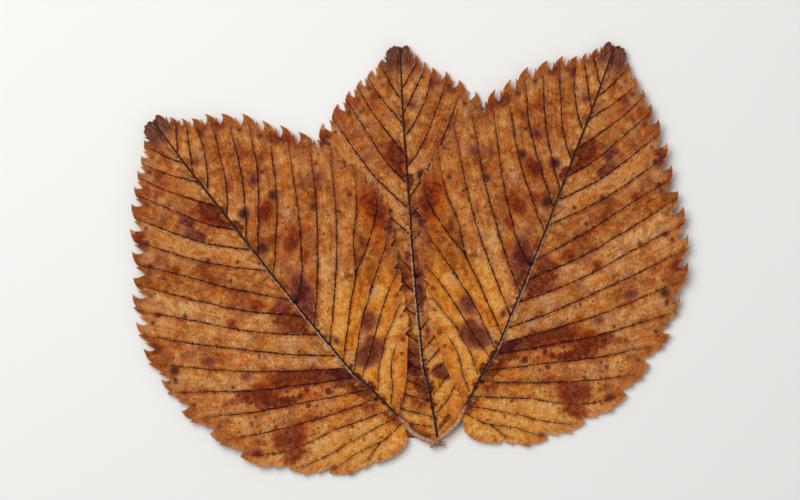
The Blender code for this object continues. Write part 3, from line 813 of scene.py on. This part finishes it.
def with_veins(n, colour, line):
    """Adds the faint net of small veins, then the side veins, here and there with a pale painted highlight
    along one side.
    """
    netted = n.times(n.between(n.net, 0.01, 0.08, 0.42, 0.0), n.between(n.lumps, 0.40, 0.62, 0.25, 1.0))
    colour = n.mix(netted, colour, srgb(116, 48, 22))
    halo = n.times(n.between(n.vein, 0.6, 4.6, 0.72, 0.0), n.between(n.grain, 0.40, 0.60, 0.30, 1.0))
    halo = n.times(halo, n.clumps((9.0, 2.0), 0.36, 0.60, 0.25, 1.0))
    colour = n.mix(halo, colour, srgb(104, 40, 16))
    # A thin pale line along one side of each side vein is painted highlight, with more of it towards the tip.
    broken = n.weighted(n.between(n.height, 1.8, 3.2), 0.05, n.noise(n.place, 13.0, 4.0, 0.7))
    painted_highlight_edge = n.times(n.between(n.beside, 0.35, 0.85), n.between(broken, 0.54, 0.68))
    colour = n.mix(n.times(painted_highlight_edge, 0.40), colour, srgb(216, 160, 128))
    return n.mix(line, colour, srgb(38, 16, 22))


def with_midrib(n, colour):
    """Adds the midrib: dark, partly painted shade, with a broken pale line of painted highlight on the long
    side that fades towards the tip.
    """
    off_rib = n.weighted(n.ragged, 0.9, n.math("ABSOLUTE", n.rib))
    slim = n.math("DIVIDE", off_rib, n.between(n.height, 0.2, 2.0, 0.66, 1.0))
    mask = n.between(slim, 0.62, 0.98, 1.0, 0.0)
    shift = n.weighted(n.minus(n.noise(n.place, 22.0, 3.0, 0.8), 0.5), 3.2, n.rib)
    # The pale line along one side of the midrib is a painted highlight, and the dark cord beside it is partly
    # painted shade.
    highlight_stripe = n.times(n.between(shift, -0.50, -0.05, 1.0, 0.0), n.between(n.height, 1.7, 2.8, 1.0, 0.15))
    highlight_stripe = n.times(highlight_stripe, n.between(n.height, 0.52, 0.82, 0.25, 1.0))
    mask = n.math("MAXIMUM", mask, n.times(highlight_stripe, n.between(off_rib, 0.70, 1.05, 1.0, 0.0)))
    # Painted highlight on one side of the cord, the rib's dark colour with painted shade on the rest.
    cord = n.mix(highlight_stripe, n.mix(n.grain, srgb(22, 12, 18), srgb(62, 36, 38)),
                 n.mix(n.grain, srgb(120, 78, 68), srgb(224, 186, 166)))
    woody = n.mix(n.between(n.streaks, 0.36, 0.64), srgb(128, 74, 56), srgb(216, 170, 140))
    return n.mix(mask, colour, n.mix(n.foot, cord, woody))


def leaf_material():
    """Dry, blotched orange-brown leaf with dark side veins and a pale-edged midrib."""
    n = LeafNodes("dried_leaf")
    line = vein_lines(n)
    colour = ground_colour(n)
    for layer in (with_blotches, with_specks, with_spots, with_margin):
        colour = layer(n, colour)
    colour = with_midrib(n, with_veins(n, colour, line))
    colour = n.mix(n.times(n.below, 0.40), colour, srgb(178, 126, 84))
    rise = n.weighted(n.grain, 0.7, n.times(n.between(n.net, 0.0, 0.16), 0.45))
    rise = n.weighted(line, -0.5, n.weighted(n.streaks, 0.5, rise))
    return n.shaded({"Base Color": colour, "Roughness": n.between(n.lumps, 0.3, 0.7, 0.58, 0.74),
                     "Specular IOR Level": 0.04, "Normal": n.bump(rise, 0.16 * MM)})


def stalk_material():
    """Dry pinkish-brown stalk with lengthwise fibres, darker along its sides as painted shade, and darker at
    the knob.
    """
    n = Nodes("dried_stalk")
    place = n.node("ShaderNodeTexCoord").outputs["Object"]
    run, (_, across, knob) = n.attribute("stalk")
    fibres = n.noise(n.scaled(run, (0.9, 7.0, 0.0)), 1.0, 5.0, 0.7)
    grain = n.noise(place, 2600.0, 4.0, 0.65)
    colour = n.mix(n.between(fibres, 0.34, 0.66), srgb(124, 70, 54), srgb(234, 188, 158))
    # Painted shade: darker towards each arm's sides, away from its middle line.
    colour = n.mix(n.between(n.math("ABSOLUTE", across), 0.35, 0.75, 0.0, 0.65), colour, srgb(120, 62, 46))
    colour = n.mix(n.times(n.between(grain, 0.50, 0.66), 0.6), colour, srgb(92, 48, 38))
    colour = n.mix(n.times(knob, n.between(grain, 0.35, 0.65, 0.25, 0.75)), colour, srgb(108, 60, 56))
    return n.shaded({"Base Color": colour, "Roughness": n.between(grain, 0.3, 0.7, 0.55, 0.75),
                     "Specular IOR Level": 0.25, "Normal": n.bump(n.plus(fibres, grain), 0.12 * MM)})


def vector_attribute(mesh, name, *columns):
    """Gives each of a mesh's points three numbers that its material reads."""
    made = mesh.attributes.new(name, "FLOAT_VECTOR", "POINT")
    made.data.foreach_set("vector", np.column_stack(columns).astype(np.float32).ravel())


def dress(name, mesh):
    """Puts a mesh in the scene in place of the node of that name."""
    made = bpy.data.objects.new(name + "_fine", mesh)
    bpy.context.scene.collection.objects.link(made)
    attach(made, "root")
    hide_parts(name)


def flat_blade(name):
    """A blade's flat points and triangles, and how the points lie to its veins, midrib and margin."""
    if name not in FLAT:
        outline = blade_outline(name)
        plane, faces = blade_plane(outline)
        rib, _, side = nearest(plane, rounded(MIDRIB, SHAPE_STEP))
        edge = nearest(plane, closed(outline))[0]
        FLAT[name] = plane, faces, veins_of(plane), -rib * side, edge
    return FLAT[name]


def sheet(name, faces, table, top, under):
    """A blade's mesh, with a top, an underside and a sharp rim."""
    count = len(table)
    steps = dict.fromkeys(pair for face in faces for pair in zip(face, face[1:] + face[:1]))
    rim = [(a, b) for a, b in steps if (b, a) not in steps]
    all_faces = faces + [[k + count for k in face[::-1]] for face in faces]
    all_faces += [[b, a, a + count, b + count] for a, b in rim]
    if BLADES[name][2][0] < 0:
        all_faces = [face[::-1] for face in all_faces]
    mesh = bpy.data.meshes.new(name + "_fine")
    places = np.vstack([np.column_stack([table, top]), np.column_stack([table, under])])
    mesh.from_pydata(places.tolist(), [], all_faces)
    mesh.shade_smooth()
    rim_keys = {tuple(sorted(pair)) for pair in rim}
    rim_keys |= {(a + count, b + count) for a, b in rim_keys}
    for edge in mesh.edges:
        edge.use_edge_sharp = edge.key in rim_keys
    return mesh


def golden_ground(plane, half):
    """How golden the ground is, most near the foot and round one place on the short side."""
    u, v = plane.T
    gold = smooth((110.0 - v) / 110.0) * 0.75 + 0.9 * smooth((75.0 - np.hypot((u - 55) / 1.3, v - 92)) / 45.0)
    gold += 0.35 * (noise(plane, 30.0, GOLD_SEED) - 0.5) + 0.08 * half * smooth((260.0 - v) / 120.0)
    return np.clip(gold, 0.0, 1.0)


def spots_and_notch_shade():
    """The drawn spots, and a dark patch beside each notch as painted shade, as blotches."""
    marks = [(p[0], p[1], p[2], p[2], 0.0, p[3]) for p in SPOTS]
    luck = np.random.default_rng(TOOTH_SPOT_SEED)
    # A dark patch just inside each notch is painted shade.
    for tooth in LONG_SIDE + SHORT_SIDE:
        inward = -4.0 if tooth[2] > 0 else 4.0
        marks.append((tooth[2] + inward, tooth[3] - 2.0, luck.uniform(2.6, 5.6), luck.uniform(2.4, 5.0), 0.0,
                      luck.uniform(0.4, 1.0)))
    return marks


def give_fields(mesh, name, plane, among, rib, edge):
    """Gives a blade's points what its material reads, the same on both faces but for one number."""

    def give(attribute, *columns):
        vector_attribute(mesh, attribute, *(np.tile(column, 2) for column in columns))

    u, v = plane.T
    vein, along, signed, panel, along_veins, between = among
    half = np.where(u > np.interp(v, *np.array(MIDRIB).T[::-1]), 1.0, 0.0)
    give("plane", np.abs(u) / 100.0 + 3.0 * half, v / 100.0, half * SIDE)
    give("follow", along_veins / 100.0 + 3.0 * half, between, half * SIDE)
    give("lines", vein, along, rib / rib_width(v))

    red, red_panels, dark, dark_panels = MIDDLE_MARKS if name == MIDDLE else SIDE_MARKS
    red = np.maximum(blotches(plane, RED_BLOTCHES + red), panel_blotches(panel, along, red_panels))
    dark = np.maximum(blotches(plane, DARK_BLOTCHES + dark), panel_blotches(panel, along, dark_panels))
    give("tones", red, dark, blotches(plane, PALE_BLOTCHES))
    foot = olive = np.zeros(len(plane))
    # On the middle blade, painted shade where the stalk's left arm lies beside the blade.
    if name == MIDDLE:
        arm = placed_back(np.array(STALK_ARMS[0])[:, :2], name)
        olive = smooth((11.0 - nearest(plane, arm)[0]) / 7.0) * smooth((4.0 - u) / 10.0)
    else:
        foot = smooth((17.0 - v) / 7.0)
    # The first number places the painted highlight beside each side vein's cord.
    give("more", np.clip(1.0 - np.abs(signed - CORD) / 1.2, 0.0, 1.0), foot, olive)
    glow = mesh.attributes.new("glow", "FLOAT", "POINT")
    glow.data.foreach_set("value", np.tile(blotches(plane, ORANGE_BLOTCHES), 2).astype(np.float32))

    at_tip = smooth((v - 370.0) / 14.0) * smooth((20.0 - np.abs(u)) / 9.0)
    give("marks", blotches(plane, spots_and_notch_shade()), at_tip, edge)
    tones = np.tile(np.random.default_rng(PANEL_SEED).random(80)[panel], 2)
    below = np.repeat([0.0, 1.0], len(plane))
    vector_attribute(mesh, "parts", tones, np.tile(golden_ground(plane, half), 2), below)


def blade(name, look):
    """One blade's fine sheet."""
    plane, faces, among, rib, edge = flat_blade(MIDDLE if name == MIDDLE else "side")
    middle = placed(blade_outline(MIDDLE), MIDDLE)
    top, under = blade_form(plane, name, middle, (among[0], among[1], rib, edge))
    mesh = sheet(name, faces, placed(plane, name) * UNIT, top, under)
    give_fields(mesh, name, plane, among, rib, edge)
    mesh.materials.append(look)
    dress(name, mesh)


def stalk(look):
    """The forked stalk: two arms that run out of the side blades' midribs and cross in a knob."""
    mesh = bmesh.new()
    rng = np.random.default_rng(STALK_SEED)
    for arm in STALK_ARMS:
        route = np.array(arm, dtype=float) * (UNIT, UNIT, MM)
        start = route[0] + (route[0] - route[1]) * 0.9 + (0.0, 0.0, -0.0001)
        route = np.vstack([start, route])
        for at in np.linspace(0.0, len(route) - 1.0, ARM_BEADS):
            k = min(int(at), len(route) - 2)
            centre = curve(route, k, at - k)
            t = at / (len(route) - 1.0)
            radius = STALK_RADIUS * (0.88 + 0.12 * math.sin(3.0 * t) + 0.22 * smooth((t - 0.72) / 0.2))
            if t > 0.96:
                radius *= 0.9
            bead = bmesh.ops.create_icosphere(mesh, subdivisions=2, radius=radius * rng.uniform(0.97, 1.03))
            bmesh.ops.translate(mesh, verts=bead["verts"], vec=Vector(centre))
    bead = bmesh.ops.create_icosphere(mesh, subdivisions=3, radius=KNOB_RADIUS)
    for vertex in bead["verts"]:
        vertex.co.x = vertex.co.x * KNOB_SHAPE[0] + KNOB[0] * UNIT
        vertex.co.y = vertex.co.y * KNOB_SHAPE[1] + KNOB[1] * UNIT
        vertex.co.z = vertex.co.z * KNOB_SHAPE[2] + KNOB[2] * MM
    data = bpy.data.meshes.new("stalk_fine")
    mesh.to_mesh(data)
    mesh.free()
    raw = bpy.data.objects.new("stalk_raw", data)
    bpy.context.scene.collection.objects.link(raw)
    fuse = raw.modifiers.new("Fuse", "REMESH")
    fuse.mode = "VOXEL"
    fuse.voxel_size = VOXEL
    even = raw.modifiers.new("Even", "SMOOTH")
    even.iterations = 6
    graph = bpy.context.evaluated_depsgraph_get()
    data = bpy.data.meshes.new_from_object(raw.evaluated_get(graph))
    bpy.data.objects.remove(raw)
    data.name = "stalk_fine"
    data.shade_smooth()
    places = np.zeros(3 * len(data.vertices))
    data.vertices.foreach_get("co", places)
    places = places.reshape(-1, 3)
    away = np.hypot(places[:, 0] - KNOB[0] * UNIT, places[:, 1] - KNOB[1] * UNIT) / MM
    arms = (np.array(arm)[:, :2] * UNIT / MM for arm in STALK_ARMS)
    far, at, side = zip(*(nearest(places[:, :2] / MM, arm) for arm in arms))
    closer = far[0] < far[1]
    # The second number, how far a point lies from its arm's middle line, sets the painted shade at the arms'
    # sides.
    vector_attribute(data, "stalk", np.where(closer, at[0], at[1] + 3.0) * 16.0,
                     np.where(closer, far[0] * side[0], far[1] * side[1]), smooth((2.4 - away) / 1.4))
    data.materials.append(look)
    dress("stalk", data)


def area_light(name, place, target, size, power):
    """A square soft light that faces a point."""
    data = bpy.data.lights.new(name, "AREA")
    data.size = size
    data.energy = power
    made = bpy.data.objects.new(name, data)
    made.location = place
    made.rotation_euler = (Vector(target) - Vector(place)).to_track_quat("-Z", "Y").to_euler()
    bpy.context.scene.collection.objects.link(made)


def surroundings():
    """A pale floor, a large soft key light from the upper left, a weak fill, and the camera overhead."""
    bpy.ops.mesh.primitive_plane_add(size=FLOOR_SIZE, location=(0.0, 0.0, -FLOOR_DROP))
    floor = bpy.context.object
    floor.name = "floor"
    floor.data.materials.append(Nodes("floor").shaded({"Base Color": FLOOR_COLOUR, "Roughness": 0.85}))
    area_light("key", *KEY)
    area_light("fill", *FILL)
    world = bpy.data.worlds.new("studio")
    world.use_nodes = True
    background = world.node_tree.nodes["Background"]
    background.inputs["Color"].default_value = (1.0, 1.0, 1.0, 1.0)
    background.inputs["Strength"].default_value = SKY
    bpy.context.scene.world = world
    bpy.context.scene.view_settings.view_transform = "Standard"
    data = bpy.data.cameras.new("camera")
    data.lens = LENS
    data.clip_start = 0.05
    camera = bpy.data.objects.new("camera", data)
    camera.location = CAMERA
    bpy.context.scene.collection.objects.link(camera)
    bpy.context.scene.camera = camera


surroundings()
leaf = leaf_material()
for blade_name in BLADES:
    blade(blade_name, leaf)
stalk(stalk_material())
